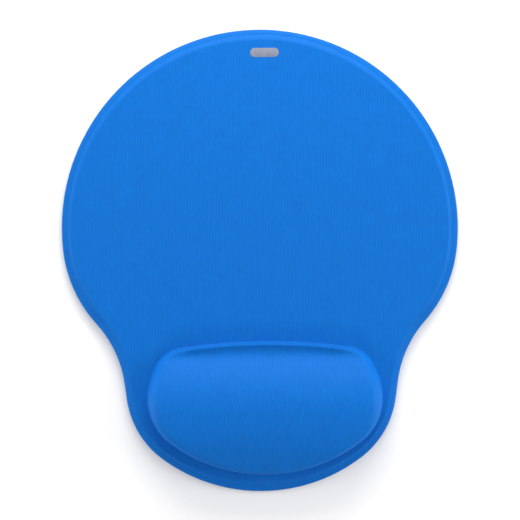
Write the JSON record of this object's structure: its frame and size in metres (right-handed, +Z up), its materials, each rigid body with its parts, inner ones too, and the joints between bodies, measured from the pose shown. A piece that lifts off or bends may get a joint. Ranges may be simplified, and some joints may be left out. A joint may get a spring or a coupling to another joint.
{
  "type": "mouse mat with gel wrist rest",
  "caption": "Fabric-covered mouse mat with a round mousing area, a narrower waist and a raised cushion-shaped gel wrist rest at the near end.",
  "frame": {"origin": "on the desk, under the middle of the mat's length and width", "axes": "+X to the user's right, +Y away from the user towards the mousing area's far edge, +Z up"},
  "size_m": [0.2098, 0.2446, 0.02],
  "materials": {
    "cover_fabric": "fine knitted polyester with a slight sheen",
    "foam": "closed-cell foam, matte",
    "bond_film": "hot-melt adhesive film",
    "film": "clear soft film",
    "gel": "soft translucent gel",
    "grip_base": "dark matte non-slip sheet with a fine grip pattern",
    "print": "plain grey heat-transfer print"
  },
  "bodies": {
    "root": {"fabric_cover": "cover_fabric", "foam_core": "foam", "cover_bond_film": "bond_film", "gel_upper_film": "film", "gel_fill": "gel", "gel_lower_film": "film", "base_bond_film": "bond_film", "nonslip_base": "grip_base", "transfer_patch": "print"}
  },
  "joints": []
}
